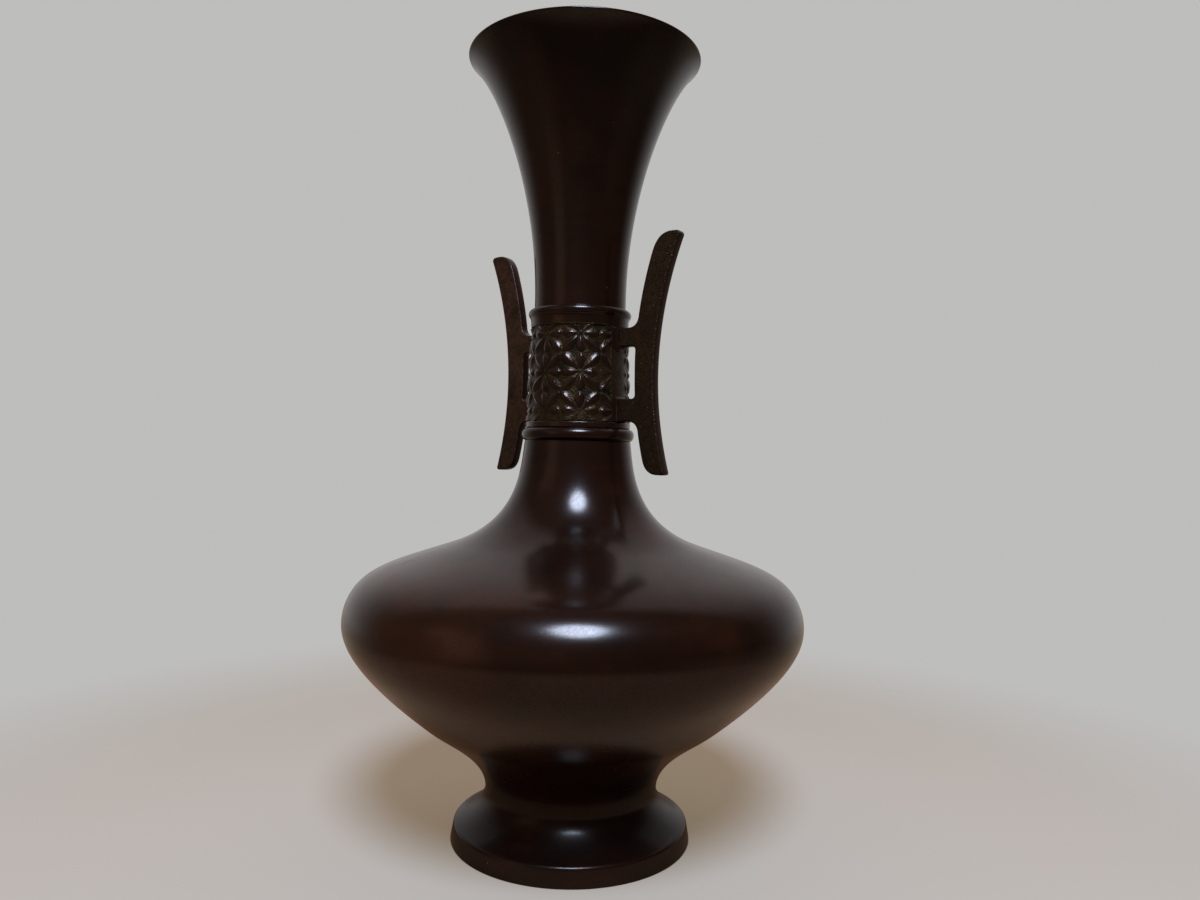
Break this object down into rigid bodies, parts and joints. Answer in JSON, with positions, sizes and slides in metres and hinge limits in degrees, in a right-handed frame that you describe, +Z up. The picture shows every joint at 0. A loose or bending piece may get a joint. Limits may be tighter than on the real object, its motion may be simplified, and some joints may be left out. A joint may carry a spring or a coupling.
{
  "type": "flower vase",
  "caption": "Bottle-shaped copper flower vase with a flared mouth, an ornament band between beads, paired strap ears and a low wide body on a spreading foot.",
  "frame": {"origin": "middle of the foot's underside, on the surface that the vase stands on", "axes": "+Z up along the vase's axis to the mouth, +X towards the right ear, -Y towards the front of the ornament band"},
  "size_m": [0.1454, 0.1454, 0.25],
  "materials": {
    "copper_patina": "dark red-brown patina, waxed to a soft gloss",
    "band_patina": "olive-brown patina with a fine-grained ground, satin",
    "ear_patina": "olive-brown patina, finely stippled sides and smooth red-brown edges, satin",
    "inner_copper": "dull tarnished copper, matt"
  },
  "bodies": {
    "root": {"foot": "copper_patina", "base_plate": "inner_copper", "lower_body": "copper_patina", "upper_body": "copper_patina", "lower_bead": "copper_patina", "ornament_band": "band_patina", "upper_bead": "copper_patina", "neck_and_mouth": "copper_patina", "right_ear": "ear_patina", "right_ear_upper_rivet": "inner_copper", "right_ear_lower_rivet": "inner_copper", "left_ear": "ear_patina", "left_ear_upper_rivet": "inner_copper", "left_ear_lower_rivet": "inner_copper"}
  },
  "joints": []
}
